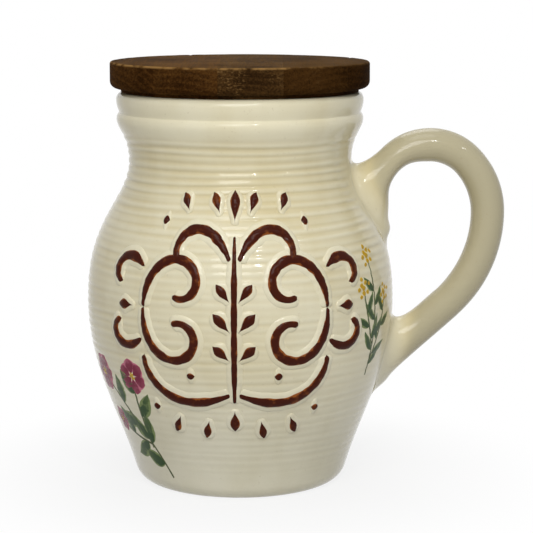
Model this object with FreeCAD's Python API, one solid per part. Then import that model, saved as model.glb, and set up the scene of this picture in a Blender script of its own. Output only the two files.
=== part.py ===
"""Tabletop waste bin: a glazed ceramic jug with a luted handle, closed by a loose wooden lid.

Millimetres, +Z up. The origin is the centre of the foot ring, on the surface that the jug stands on.
The handle reaches out along +X, and the front of the jug faces -Y.
"""

import FreeCAD
import Part
import math
import os

# Jug: heights, each counted from the station below it
FOOT_RECESS = 2.0
HEEL_RISE = 6.4
WALL_RISE = 86.6
SHOULDER_RISE = 70.0
COLLAR_RISE = 23.5
LOWER_BEAD_RISE = 3.3
UPPER_BEAD_RISE = 3.2
RIM_RISE = 4.0

# Jug: radii, from the mouth outwards and from the foot upwards
MOUTH_RADIUS = 53.0
RIM_WALL = 9.0
NECK_INSET = 5.9
BELLY_SWELL = 21.4
FOOT_RADIUS = 47.5
FOOT_RING_WIDTH = 6.5
HEEL_SWELL = 6.5

# Jug: walls, rim and inside
WALL = 6.0
FLOOR = 7.0
BEAD_GROOVE_DEPTH = 0.9
RIM_OUTER_ROUND = 3.6
MOUTH_ROUND = 2.5
MOUTH_DEPTH = 16.0
INNER_HEEL_RISE = 7.0
INNER_HEEL_ROUND = 12.0

# Jug: how far each curve's handles reach, as shares of the rise that they cross
HEEL_LEAN_SHARE = 0.30
WALL_HANDLE_SHARES = (0.35, 0.40)
SHOULDER_HANDLE_SHARES = (0.60, 0.30)
COLLAR_HANDLE_SHARES = (0.60, 0.28)
CORNER_HANDLE_SHARE = 0.55

# Handle: the rod, the line that it follows and the pads that it is luted on with
ROD_THICKNESS = 17.0
ROD_WIDTH = 19.0
HANDLE_REACH = 47.7
GRIP_RISE = 42.5
TOP_BEND_RADIUS = 26.0
BACK_BEND_RADIUS = 38.0
LOW_BEND_RADIUS = 58.0
BACK_BEND_DEG = 44.0
TOP_BEND_DEG = 91.0
LOW_BEND_DEG = 48.0
LOW_RUN = 14.0
BEND_STATIONS = 3
LOFT_DEGREE = 2
UPPER_PAD_DROP = 3.5
UPPER_PAD_HEIGHT = 37.0
LOWER_PAD_DROP = 13.0
LOWER_PAD_HEIGHT = 32.0
PAD_WIDTH = 26.0
PAD_PROUD = 2.0
PAD_SINK = 8.0
PAD_DROOP = 14.0
PAD_SPREAD = 10.0
THROAT_SHARE = 0.6
THROAT_WIDTH = 21.0
UPPER_THROAT_PULL = 5.0
LOWER_THROAT_PULL = 3.0

# Lid: a board of glued staves, with a plug below it; the glue lines are shares of the lid's radius
LID_THICKNESS = 15.0
LID_OVERHANG = 3.0
LID_UNDERCUT = 5.5
LID_SEAT_STEP = 1.8
LID_TOP_ROUND = 1.2
LID_BOTTOM_ROUND = 3.5
GLUE_LINE_SHARES = (-0.626, -0.149, 0.328, 0.805)
PLUG_DEPTH = 11.0
PLUG_GAP = 2.5
PLUG_ROUND = 2.0

# Seal ring: it sits in a groove of the plug, and its fins reach for the mouth's wall
SEAL_GROOVE_DEPTH = 2.0
SEAL_GROOVE_HEIGHT = 5.6
SEAL_GROOVE_DROP = 2.4
SEAL_BAND = 1.5
FIN_TIP = 0.5
FIN_ROOT = 1.1
SEAL_CLEARANCE = 0.3

# Stations up the jug's axis
heel_z = HEEL_RISE
belly_z = heel_z + WALL_RISE
neck_z = belly_z + SHOULDER_RISE
collar_z = neck_z + COLLAR_RISE
groove_z = collar_z + LOWER_BEAD_RISE
rim_bead_z = groove_z + UPPER_BEAD_RISE
rim_z = rim_bead_z + RIM_RISE
floor_z = FOOT_RECESS + FLOOR
inner_heel_z = floor_z + INNER_HEEL_RISE

# Radii at those stations
collar_radius = MOUTH_RADIUS + RIM_WALL
neck_radius = collar_radius - NECK_INSET
belly_radius = neck_radius + BELLY_SWELL
heel_radius = FOOT_RADIUS + HEEL_SWELL
inner_heel_radius = heel_radius + HEEL_LEAN_SHARE * (inner_heel_z - heel_z) - WALL
lid_radius = collar_radius + LID_OVERHANG
lid_seat_radius = lid_radius - LID_UNDERCUT
plug_radius = MOUTH_RADIUS - PLUG_GAP

AXIS = FreeCAD.Vector(0, 0, 1)
ORIGIN = FreeCAD.Vector(0, 0, 0)


def at(radius, height):
    """A point of a profile, in the plane that holds the axis and the handle."""
    return FreeCAD.Vector(radius, 0, height)


def line(start, end):
    return Part.LineSegment(start, end).toShape()


def bezier(*poles):
    curve = Part.BezierCurve()
    curve.setPoles(list(poles))
    return curve.toShape()


def rise_curve(start, end, shares):
    """A wall that leaves start and reaches end upright, with handles that are shares of the rise."""
    rise = end.z - start.z
    return bezier(
        start,
        at(start.x, start.z + shares[0] * rise),
        at(end.x, end.z - shares[1] * rise),
        end,
    )


def corner(start, knee, end):
    """A rounded corner from start to end, drawn towards the knee where their tangents meet."""
    return bezier(
        start,
        start + (knee - start) * CORNER_HANDLE_SHARE,
        end + (knee - end) * CORNER_HANDLE_SHARE,
        end,
    )


def revolve(edges):
    """The solid that a closed profile sweeps out about the axis."""
    wire = Part.Wire(Part.__sortEdges__(edges))
    return Part.makeSolid(Part.Face(wire).revolve(ORIGIN, AXIS, 360))


def lower_wall(inset, start):
    """The wall from the heel up to the belly. It leaves the heel leaning outwards."""
    end = at(belly_radius - inset, belly_z)
    rise = end.z - start.z
    lean = WALL_HANDLE_SHARES[0] * rise
    return bezier(
        start,
        start + at(HEEL_LEAN_SHARE * lean, lean),
        at(end.x, end.z - WALL_HANDLE_SHARES[1] * rise),
        end,
    )


def outer_edges():
    """The outside of the jug, from the foot ring's outer edge up to the flat of the rim."""
    heel = at(heel_radius, heel_z)
    belly = at(belly_radius, belly_z)
    neck = at(neck_radius, neck_z)
    collar = at(collar_radius, collar_z)
    groove = at(collar_radius - BEAD_GROOVE_DEPTH, groove_z)
    rim_bead = at(collar_radius, rim_bead_z)
    rim = at(collar_radius - RIM_OUTER_ROUND, rim_z)
    foot = at(FOOT_RADIUS, 0)
    heel_knee = at(heel_radius - HEEL_LEAN_SHARE * HEEL_RISE, 0)
    return [
        corner(foot, heel_knee, heel),
        lower_wall(0, heel),
        rise_curve(belly, neck, SHOULDER_HANDLE_SHARES),
        rise_curve(neck, collar, COLLAR_HANDLE_SHARES),
        corner(collar, at(collar.x, groove.z), groove),
        corner(groove, at(rim_bead.x, groove.z), rim_bead),
        corner(rim_bead, at(rim_bead.x, rim.z), rim),
    ]


def inner_edges():
    """The inside of the jug, from the flat of the rim down to the middle of the floor."""
    rim = at(MOUTH_RADIUS + MOUTH_ROUND, rim_z)
    lip = at(MOUTH_RADIUS, rim_z - MOUTH_ROUND)
    mouth = at(MOUTH_RADIUS, rim_z - MOUTH_DEPTH)
    neck = at(neck_radius - WALL, neck_z)
    belly = at(belly_radius - WALL, belly_z)
    heel = at(inner_heel_radius, inner_heel_z)
    floor_edge = at(inner_heel_radius - INNER_HEEL_ROUND, floor_z)
    heel_knee = at(inner_heel_radius - HEEL_LEAN_SHARE * INNER_HEEL_RISE, floor_z)
    return [
        corner(rim, at(lip.x, rim.z), lip),
        line(lip, mouth),
        rise_curve(neck, mouth, COLLAR_HANDLE_SHARES),
        rise_curve(belly, neck, SHOULDER_HANDLE_SHARES),
        lower_wall(WALL, heel),
        corner(heel, heel_knee, floor_edge),
        line(floor_edge, at(0, floor_z)),
    ]


def jug_body():
    """The thrown jug, with a foot ring below and a rolled, grooved rim above."""
    ring_inner = FOOT_RADIUS - FOOT_RING_WIDTH
    under = [
        line(at(0, floor_z), at(0, FOOT_RECESS)),
        line(at(0, FOOT_RECESS), at(ring_inner - FOOT_RECESS, FOOT_RECESS)),
        line(at(ring_inner - FOOT_RECESS, FOOT_RECESS), at(ring_inner, 0)),
        line(at(ring_inner, 0), at(FOOT_RADIUS, 0)),
    ]
    rim_flat = line(
        at(collar_radius - RIM_OUTER_ROUND, rim_z), at(MOUTH_RADIUS + MOUTH_ROUND, rim_z)
    )
    return revolve(under + outer_edges() + [rim_flat] + inner_edges())


def jug_blank():
    """The jug's outside as one filled solid, which the handle is fitted to."""
    closing = [
        line(at(collar_radius - RIM_OUTER_ROUND, rim_z), at(0, rim_z)),
        line(at(0, rim_z), ORIGIN),
        line(ORIGIN, at(FOOT_RADIUS, 0)),
    ]
    return revolve(outer_edges() + closing)


def jug_radius(height):
    """The outside radius of the jug at a height between the heel and the collar."""
    ray = line(at(0, height), at(belly_radius + collar_radius, height))
    distances = [edge.distToShape(ray) for edge in outer_edges()[1:4]]
    return min(distances, key=lambda found: found[0])[1][0][0].x


def section(outer, inner, width):
    """An oval across the handle, as one closed curve that starts at the outer point."""
    middle = (outer + inner) / 2
    reach = FreeCAD.Vector(0, width / 2, 0)
    points = [outer, middle + reach, inner, middle - reach]
    arcs = []
    for start, end in zip(points, points[1:] + points[:1]):
        arcs.append(corner(start, start + end - middle, end).Curve.toBSpline())
    oval = arcs[0]
    for arc in arcs[1:]:
        oval.join(arc)
    return Part.Wire(oval.toShape())


def turned(degrees):
    return at(math.cos(math.radians(degrees)), math.sin(math.radians(degrees)))


def rod_sides():
    """Outer and inner points along the rod, from the end of its top bend to that of its low run."""
    grip = at(belly_radius + HANDLE_REACH, belly_z + GRIP_RISE)
    back_centre = grip - at(BACK_BEND_RADIUS, 0)
    low_centre = grip - at(LOW_BEND_RADIUS, 0)
    top_centre = back_centre + turned(BACK_BEND_DEG) * (BACK_BEND_RADIUS - TOP_BEND_RADIUS)
    bends = [
        (top_centre, TOP_BEND_RADIUS, BACK_BEND_DEG + TOP_BEND_DEG, BACK_BEND_DEG),
        (back_centre, BACK_BEND_RADIUS, BACK_BEND_DEG, 0),
        (low_centre, LOW_BEND_RADIUS, 0, -LOW_BEND_DEG),
    ]
    half = ROD_THICKNESS / 2
    sides = []
    for centre, radius, first, last in bends:
        for step in range(BEND_STATIONS):
            ray = turned(first + (last - first) * step / BEND_STATIONS)
            sides.append((centre + ray * (radius + half), centre + ray * (radius - half)))
    ray = turned(-LOW_BEND_DEG)
    run = at(ray.z, -ray.x) * LOW_RUN
    low_end = low_centre + ray * LOW_BEND_RADIUS
    sides.append((low_end + ray * half, low_end - ray * half))
    sides.append((low_end + run + ray * half, low_end + run - ray * half))
    return sides


def on_jug(height):
    return at(jug_radius(height), height)


def root_sections(pad, rod, droops, pulls):
    """The sections of one root: sunk in the jug, proud of it, and the throat that leads to the rod.

    Pad and rod are pairs of points, outer side first. A droop draws the sunk section out along the
    jug on that side, and a pull draws the throat towards the jug.
    """
    chord = (pad[0] - pad[1]).normalize()
    outward = at(chord.z, -chord.x)
    if outward.x < 0:
        outward = -outward
    sunk = [
        point - outward * PAD_SINK + along * droop
        for point, along, droop in zip(pad, (chord, -chord), droops)
    ]
    proud = [point + outward * PAD_PROUD for point in pad]
    throat = [
        start + (end - start) * THROAT_SHARE - outward * pull
        for start, end, pull in zip(proud, rod, pulls)
    ]
    return [
        section(*sunk, PAD_WIDTH + PAD_SPREAD),
        section(*proud, PAD_WIDTH),
        section(*throat, THROAT_WIDTH),
    ]


def jug_handle():
    """The handle: a bent rod that swells into a pad at each end, with its clay drawn out on the jug."""
    upper_z = neck_z - UPPER_PAD_DROP
    lower_z = belly_z - LOWER_PAD_DROP
    sides = rod_sides()
    upper_pad = (on_jug(upper_z), on_jug(upper_z - UPPER_PAD_HEIGHT))
    lower_pad = (on_jug(lower_z - LOWER_PAD_HEIGHT), on_jug(lower_z))
    upper = root_sections(upper_pad, sides[0], (0, PAD_DROOP), (0, UPPER_THROAT_PULL))
    lower = root_sections(lower_pad, sides[-1], (PAD_DROOP, 0), (LOWER_THROAT_PULL, 0))
    rod = [section(outer, inner, ROD_WIDTH) for outer, inner in sides]
    rough = Part.makeLoft(upper + rod + lower[::-1], True, False, False, LOFT_DEGREE)
    return rough.cut(jug_blank())


def lid_board():
    """The turned board: an overhanging edge, and below it a step that seats on the rim."""
    seat_z = rim_z
    under_z = rim_z + LID_SEAT_STEP
    top_z = rim_z + LID_THICKNESS
    under = at(lid_radius - LID_BOTTOM_ROUND, under_z)
    low_side = at(lid_radius, under_z + LID_BOTTOM_ROUND)
    high_side = at(lid_radius, top_z - LID_TOP_ROUND)
    top = at(lid_radius - LID_TOP_ROUND, top_z)
    return revolve([
        line(at(0, top_z), at(0, seat_z)),
        line(at(0, seat_z), at(lid_seat_radius, seat_z)),
        line(at(lid_seat_radius, seat_z), at(lid_seat_radius, under_z)),
        line(at(lid_seat_radius, under_z), under),
        corner(under, at(lid_radius, under_z), low_side),
        line(low_side, high_side),
        corner(high_side, at(lid_radius, top_z), top),
        line(top, at(0, top_z)),
    ])


def lid_staves():
    """The board sawn at its glue lines, from the left edge to the right one."""
    board = lid_board()
    saws = [-lid_radius] + [share * lid_radius for share in GLUE_LINE_SHARES] + [lid_radius]
    staves = []
    for left, right in zip(saws, saws[1:]):
        corner_point = FreeCAD.Vector(left, -lid_radius, rim_z)
        slab = Part.makeBox(right - left, 2 * lid_radius, LID_THICKNESS, corner_point)
        staves.append(board.common(slab))
    return staves


def lid_plug():
    """The disc below the board that keeps the lid on the mouth, with a groove for the seal ring."""
    groove_top = rim_z - SEAL_GROOVE_DROP
    groove_low = groove_top - SEAL_GROOVE_HEIGHT
    groove_radius = plug_radius - SEAL_GROOVE_DEPTH
    low_z = rim_z - PLUG_DEPTH
    side = at(plug_radius, low_z + PLUG_ROUND)
    under = at(plug_radius - PLUG_ROUND, low_z)
    return revolve([
        line(at(0, low_z), at(0, rim_z)),
        line(at(0, rim_z), at(plug_radius, rim_z)),
        line(at(plug_radius, rim_z), at(plug_radius, groove_top)),
        line(at(plug_radius, groove_top), at(groove_radius, groove_top)),
        line(at(groove_radius, groove_top), at(groove_radius, groove_low)),
        line(at(groove_radius, groove_low), at(plug_radius, groove_low)),
        line(at(plug_radius, groove_low), side),
        corner(side, at(plug_radius, low_z), under),
        line(under, at(0, low_z)),
    ])


def seal_ring():
    """The soft ring: a band in the plug's groove, with a fin along each of its edges."""
    inner = plug_radius - SEAL_GROOVE_DEPTH + SEAL_CLEARANCE
    band = inner + SEAL_BAND
    tip = MOUTH_RADIUS - SEAL_CLEARANCE
    top = rim_z - SEAL_GROOVE_DROP - SEAL_CLEARANCE
    low = top - SEAL_GROOVE_HEIGHT + 2 * SEAL_CLEARANCE
    return revolve([
        line(at(inner, low), at(inner, top)),
        line(at(inner, top), at(tip, top)),
        line(at(tip, top), at(tip, top - FIN_TIP)),
        line(at(tip, top - FIN_TIP), at(band, top - FIN_ROOT)),
        line(at(band, top - FIN_ROOT), at(band, low + FIN_ROOT)),
        line(at(band, low + FIN_ROOT), at(tip, low + FIN_TIP)),
        line(at(tip, low + FIN_TIP), at(tip, low)),
        line(at(tip, low), at(inner, low)),
    ])


def main():
    nodes = {
        "jug_body": jug_body(),
        "jug_handle": jug_handle(),
        "lid_plug": lid_plug(),
        "seal_ring": seal_ring(),
    }
    for number, stave in enumerate(lid_staves(), start=1):
        nodes[f"lid_stave_{number}"] = stave
    os.makedirs("parts", exist_ok=True)
    for name, shape in nodes.items():
        shape.exportStep(f"parts/{name}.step")
        print(name, len(shape.Solids), "solid,", round(shape.Volume), "cubic mm")


main()
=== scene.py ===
# %% [markdown]
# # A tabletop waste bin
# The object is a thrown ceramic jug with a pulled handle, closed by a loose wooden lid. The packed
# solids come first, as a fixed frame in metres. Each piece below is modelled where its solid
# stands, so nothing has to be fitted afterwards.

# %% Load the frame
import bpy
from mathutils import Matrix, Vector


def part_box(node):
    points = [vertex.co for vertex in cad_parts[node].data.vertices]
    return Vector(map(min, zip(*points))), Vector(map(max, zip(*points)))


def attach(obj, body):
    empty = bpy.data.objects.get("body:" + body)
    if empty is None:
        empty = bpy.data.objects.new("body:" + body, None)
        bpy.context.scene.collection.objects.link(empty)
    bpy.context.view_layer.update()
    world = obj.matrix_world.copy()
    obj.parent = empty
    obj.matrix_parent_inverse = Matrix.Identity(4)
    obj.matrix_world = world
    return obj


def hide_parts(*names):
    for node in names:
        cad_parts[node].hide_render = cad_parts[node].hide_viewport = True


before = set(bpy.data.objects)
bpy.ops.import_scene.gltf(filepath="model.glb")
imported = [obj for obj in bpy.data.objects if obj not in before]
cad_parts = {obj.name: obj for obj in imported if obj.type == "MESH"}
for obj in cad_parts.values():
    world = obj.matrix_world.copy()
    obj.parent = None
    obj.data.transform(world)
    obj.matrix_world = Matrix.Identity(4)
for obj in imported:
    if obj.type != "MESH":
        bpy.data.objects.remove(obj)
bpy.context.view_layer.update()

import math

import bmesh
import bpy
import numpy as np
from mathutils import Vector

MM = 0.001
print("nodes in the frame:", sorted(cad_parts))

# %% [markdown]
# ## The jug's outline
# A potter judges a jug by its outline, so it is settled before any surface. It could be traced
# point by point, but a few smooth curves between stations give a line with no bumps. Each curve is
# a cubic Bezier with its handles set as shares of the rise between two stations.

# %% Stations and curves of the outline
FOOT, HEEL = np.array((0.0475, 0.0)), np.array((0.0540, 0.0064))
BELLY, NECK = np.array((0.0775, 0.0930)), np.array((0.0561, 0.1630))
COLLAR, BEAD_GROOVE = np.array((0.0619, 0.1836)), np.array((0.0607, 0.1866))
RIM_BEAD, RIM_OUTER = np.array((0.0620, 0.1932)), np.array((0.0584, 0.1970))
BEAD_TOP = ((0.0619, 0.1853), (0.0611, 0.1861))
ROLL_UNDER = ((0.0604, 0.1872), (0.0620, 0.1896))
HEEL_LEAN = 0.30
CORNER_SHARE = 0.55
# how far each curve keeps its first and its last heading, as shares of its rise
LOWER_SHARES, SHOULDER_SHARES = (0.35, 0.40), (0.60, 0.30)
COLLAR_SHARES, MOUTH_SHARES = (0.55, 0.22), (0.60, 0.28)
# points along the lower wall and along each bead, for measuring and for the mesh
MEASURED_STEPS, MESHED_STEPS = (800, 40), (152, 9)


def bezier(poles, count):
    """Points along a cubic curve, without its last point."""
    t = np.linspace(0, 1, count, endpoint=False)[:, None]
    a, b, c, d = (np.asarray(pole) for pole in poles)
    return a * (1 - t) ** 3 + 3 * b * t * (1 - t) ** 2 + 3 * c * t * t * (1 - t) + d * t ** 3


def rising(start, end, shares, count, lean=0.0):
    """A curve up the wall, which arrives upright and can leave with a lean."""
    rise = end[1] - start[1]
    leave = start + np.array((lean, 1)) * shares[0] * rise
    arrive = end - np.array((0, 1)) * shares[1] * rise
    return bezier((start, leave, arrive, end), count)


def rounded(start, knee, end, count):
    """A rounded corner, drawn from both ends towards their knee."""
    knee = np.asarray(knee)
    leave, arrive = start + (knee - start) * CORNER_SHARE, end + (knee - end) * CORNER_SHARE
    return bezier((start, leave, arrive, end), count)


def outside(wall_steps, bead_steps):
    """The outline from the foot ring's outer edge up to the flat of the rim."""
    return np.concatenate([
        rounded(FOOT, (HEEL[0] - HEEL_LEAN * HEEL[1], 0), HEEL, bead_steps),
        rising(HEEL, BELLY, LOWER_SHARES, wall_steps, HEEL_LEAN),
        rising(BELLY, NECK, SHOULDER_SHARES, wall_steps * 7 // 8),
        rising(NECK, COLLAR, COLLAR_SHARES, wall_steps // 4),
        bezier((COLLAR, *BEAD_TOP, BEAD_GROOVE), bead_steps),
        bezier((BEAD_GROOVE, *ROLL_UNDER, RIM_BEAD), bead_steps),
        rounded(RIM_BEAD, (RIM_BEAD[0], RIM_OUTER[1]), RIM_OUTER, bead_steps),
        RIM_OUTER[None],
    ])


outline = outside(*MEASURED_STEPS)
print("outline:", len(outline), "points up to", outline[-1].round(4))

# %% [markdown]
# ## Throwing rings and the wrapped surface
# The fingers of the potter leave a shallow spiral in the wall. It could be a bump in the glaze, but
# then the edge of the jug would stay smooth, so the wall itself is moved inwards by a depth that
# depends on height and angle. The spiral fades at the collar, at the heel and around the roots of
# the handle, where the clay was smoothed. One function gives any point of this surface, so that
# the ornament can be laid on it later.

# %% Surface of the jug
RING_PITCH, RING_DEPTH = 0.0037, 0.00047
SECOND_PITCH, SECOND_SHARE = 0.0058, 0.45
FINE_PITCH, FINE_SHARE = 0.0021, 0.2
RING_SHARPNESS, SECOND_SHARPNESS = 1.4, 2
# the rings are faint low on the wall and plain to see on the neck
RING_GAIN, RING_GAIN_HEIGHTS = (0.5, 1.75), (0.03, 0.155)
HEEL_FADE, COLLAR_FADE, ROOT_FADE = (0.008, 0.018), (0.172, 0.180), (1.05, 1.9)
# waves that let the spiral wander and swell: height, count around, and radians for each metre up
WANDER = ((0.5, 2, 90), (0.4, 3, -150))
SECOND_WANDERS, FINE_WANDERS = 1.3, 2.1
SWELL, SWELL_WAVES = 0.66, ((0.22, 1, 61), (0.12, 5, 230))
FRONT = -math.pi / 2
UPPER_ROOT = {"z": 0.140, "half_height": 0.024, "half_width": 0.017, "top_is_outer": 1}
LOWER_ROOT = {"z": 0.063, "half_height": 0.023, "half_width": 0.017, "top_is_outer": -1}


def smooth_step(value, low, high):
    t = np.clip((value - low) / (high - low), 0, 1)
    return t * t * (3 - 2 * t)


def wall_radius(z):
    return np.interp(z, outline[:, 1], outline[:, 0])


def ring_fade(turn, z):
    """1 where the throwing rings are full, and 0 where the wall was smoothed."""
    fade = smooth_step(z, *HEEL_FADE) * (1 - smooth_step(z, *COLLAR_FADE))
    for root in (UPPER_ROOT, LOWER_ROOT):
        across = np.arctan2(np.sin(turn), np.cos(turn)) * wall_radius(z) / root["half_width"]
        along = (z - root["z"]) / root["half_height"]
        fade = fade * smooth_step(np.hypot(across, along), *ROOT_FADE)
    return fade


def waves(terms, turn, z):
    return sum(height * np.sin(around * turn + up * z) for height, around, up in terms)


def spiral(turn, z, pitch, wander):
    return 0.5 + 0.5 * np.cos(2 * math.pi * z / pitch - turn + wander)


def ring_depth(turn, z):
    """How far the spiral goes into the wall; turn is the angle round the axis, from +X."""
    wander = waves(WANDER, turn, z)
    first = spiral(turn, z, RING_PITCH, wander) ** RING_SHARPNESS
    second = SECOND_SHARE * spiral(turn, z, SECOND_PITCH, SECOND_WANDERS * wander) ** SECOND_SHARPNESS
    fine = FINE_SHARE * spiral(turn, z, FINE_PITCH, FINE_WANDERS * wander)
    depth = (first + second + fine) / (1 + SECOND_SHARE + FINE_SHARE)
    swell = SWELL + waves(SWELL_WAVES, turn, z)
    gain = RING_GAIN[0] + (RING_GAIN[1] - RING_GAIN[0]) * smooth_step(z, *RING_GAIN_HEIGHTS)
    return RING_DEPTH * gain * swell * depth * ring_fade(turn, z)


def on_jug(turn, z, lift=0.0):
    """Points on the jug's surface, lifted along its normal."""
    slope = (wall_radius(z + MM) - wall_radius(z - MM)) / (2 * MM)
    tilt = 1 / np.sqrt(1 + slope ** 2)
    radius = wall_radius(z) - ring_depth(turn, z) + lift * tilt
    return np.stack([radius * np.cos(turn), radius * np.sin(turn), z - lift * slope * tilt], axis=-1)


print("surface at the front of the belly:", on_jug(np.array(FRONT), BELLY[1]).round(4))

# %% [markdown]
# ## Tools of the bench
# Two ways of making a skin serve most of this object. A line of points is drawn by extruding one
# vertex again and again, and spun about the axis. A tube is a disc that is extruded from ring to
# ring, each ring put in its own place. The disc's points carry a number, which extruding copies, so
# that every ring is laid in the same order.

# %% Helpers for modelling
WELD = 1e-6
SPUN_ANGLE, TUBE_ANGLE, BOARD_ANGLE = 35, 50, 40


def deselect():
    bpy.ops.object.select_all(action="DESELECT")


def edit(piece):
    """Opens one piece in edit mode with all of it selected."""
    deselect()
    piece.select_set(True)
    bpy.context.view_layer.objects.active = piece
    bpy.ops.object.mode_set(mode="EDIT")
    bpy.ops.mesh.select_all(action="SELECT")


def close_skin(angle):
    """Merges doubles, turns the faces outwards, goes back to object mode and shades the piece."""
    bpy.ops.mesh.select_all(action="SELECT")
    bpy.ops.mesh.remove_doubles(threshold=WELD)
    bpy.ops.mesh.normals_make_consistent(inside=False)
    bpy.ops.object.mode_set(mode="OBJECT")
    bpy.ops.object.shade_smooth_by_angle(angle=math.radians(angle))


def named(name):
    piece = bpy.context.object
    piece.name = piece.data.name = name
    return piece


def spun(name, points, steps):
    """A skin of revolution: one vertex extruded along the points, then spun about the axis."""
    deselect()
    bpy.ops.mesh.primitive_circle_add(vertices=3, radius=MM)
    piece = named(name)
    edit(piece)
    bpy.ops.mesh.merge(type="CENTER")
    for number, (radius, z) in enumerate(points):
        if number:
            bpy.ops.mesh.extrude_region()
        for vertex in bmesh.from_edit_mesh(piece.data).verts:
            if vertex.select:
                vertex.co = (radius, 0, z)
    bpy.ops.mesh.select_all(action="SELECT")
    bpy.ops.mesh.spin(steps=steps, angle=2 * math.pi, center=(0, 0, 0), axis=(0, 0, 1))
    close_skin(SPUN_ANGLE)
    return piece


def loft(name, rings):
    """A closed tube: a disc extruded from ring to ring. Its attributes tell ring and spot apart."""
    deselect()
    bpy.ops.mesh.primitive_circle_add(vertices=len(rings[0]), radius=MM, fill_type="NGON")
    piece = named(name)
    edit(piece)
    skin = bmesh.from_edit_mesh(piece.data)
    spot = skin.verts.layers.float.new("spot")
    skin.verts.layers.float.new("along")
    for number, vertex in enumerate(skin.verts):
        vertex[spot] = number
    for number, ring in enumerate(rings):
        if number:
            bpy.ops.mesh.extrude_region()
        skin = bmesh.from_edit_mesh(piece.data)
        spot, along = skin.verts.layers.float["spot"], skin.verts.layers.float["along"]
        for vertex in skin.verts:
            if vertex.select:
                vertex.co = ring[int(vertex[spot])]
                vertex[along] = number / (len(rings) - 1)
    close_skin(TUBE_ANGLE)
    return piece


def points_of(piece):
    flat = np.empty(3 * len(piece.data.vertices))
    piece.data.vertices.foreach_get("co", flat)
    return flat.reshape(-1, 3)


def put_points(piece, points):
    piece.data.vertices.foreach_set("co", points.ravel())
    piece.data.update()


def put_attribute(piece, name, values):
    layer = piece.data.attributes.get(name) or piece.data.attributes.new(name, "FLOAT", "POINT")
    layer.data.foreach_set("value", np.asarray(values, dtype=np.float32))


def told(piece):
    faces = sum(len(face.vertices) - 2 for face in piece.data.polygons)
    low, high = points_of(piece).min(axis=0), points_of(piece).max(axis=0)
    print(f"{piece.name}: {faces} triangles, from {low.round(4)} to {high.round(4)}")
    return piece


# %% [markdown]
# ## The thrown jug
# The real jug was thrown on a wheel, and a spin is the same act in Blender: one line of points is
# turned about the axis. The line runs from the middle of the base out under the foot ring, up the
# outside, over the rim and down the inside to the floor, so that the skin is closed. The throwing
# rings are then pressed into the outside only, and their depth is kept as an attribute, because
# glaze pools in the hollows.

# %% Model the jug
WALL = 0.006
FOOT_RECESS, FLOOR_Z = 0.002, 0.009
FOOT_RING_INNER, FOOT_EDGE = 0.041, (0.0004, 0.0003)
BASE_MIDDLE = 0.020
MOUTH_RADIUS, MOUTH_ROUND, MOUTH_Z = 0.053, 0.0025, 0.181
INNER_HEEL, FLOOR_EDGE = np.array((0.05088, 0.016)), np.array((0.03888, FLOOR_Z))
RIM_Z = RIM_OUTER[1]
INSIDE_STEPS, LIP_STEPS, SPIN_STEPS = 24, 8, 192
ON_WALL = 0.0002
MOST_POOLED = 0.9


def inside(steps):
    """The inner outline, from the flat of the rim down to the middle of the floor."""
    lip, mouth = np.array((MOUTH_RADIUS, RIM_Z - MOUTH_ROUND)), np.array((MOUTH_RADIUS, MOUTH_Z))
    neck, belly = NECK - (WALL, 0), BELLY - (WALL, 0)
    knee = (INNER_HEEL[0] - HEEL_LEAN * (INNER_HEEL[1] - FLOOR_Z), FLOOR_Z)
    down = [
        rising(INNER_HEEL, belly, LOWER_SHARES, steps, HEEL_LEAN),
        rising(belly, neck, SHOULDER_SHARES, steps),
        rising(neck, mouth, MOUTH_SHARES, steps // 3),
        mouth[None],
    ]
    return np.concatenate([
        rounded(np.array((MOUTH_RADIUS + MOUTH_ROUND, RIM_Z)), (MOUTH_RADIUS, RIM_Z), lip, LIP_STEPS),
        lip[None],
        np.concatenate(down)[::-1],
        rounded(INNER_HEEL, knee, FLOOR_EDGE, LIP_STEPS)[1:],
        [FLOOR_EDGE, (BASE_MIDDLE, FLOOR_Z), (0, FLOOR_Z)],
    ])


base = [
    (0, FOOT_RECESS), (BASE_MIDDLE, FOOT_RECESS), (FOOT_RING_INNER - FOOT_RECESS, FOOT_RECESS),
    (FOOT_RING_INNER, FOOT_EDGE[1]), (FOOT_RING_INNER + FOOT_EDGE[0], 0),
]
profile = np.concatenate([base, outside(*MESHED_STEPS), inside(INSIDE_STEPS)])
thrown_jug = spun("thrown_jug", profile, SPIN_STEPS)

wall = points_of(thrown_jug)
reach, turn = np.hypot(wall[:, 0], wall[:, 1]), np.arctan2(wall[:, 1], wall[:, 0])
outer = (np.abs(reach - wall_radius(wall[:, 2])) < ON_WALL) & (wall[:, 2] > HEEL[1])
pressed = np.where(outer, ring_depth(turn, wall[:, 2]), 0)
wall[:, :2] *= (1 - pressed / np.maximum(reach, MM))[:, None]
put_points(thrown_jug, wall)
put_attribute(thrown_jug, "hollow", np.minimum(pressed / RING_DEPTH, MOST_POOLED))
told(thrown_jug)

# %% [markdown]
# ## The pulled handle
# A handle like this is a strap of clay that was pulled, bent, and pressed on at both ends. Its rod
# is a row of ovals along three arcs. Each root is a patch of curves that leave the rod along its
# own line and come down on the jug along the wall, spreading out, which is what a thumb does to
# wet clay. A plain union with a rounded seam would not spread like this.

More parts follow.
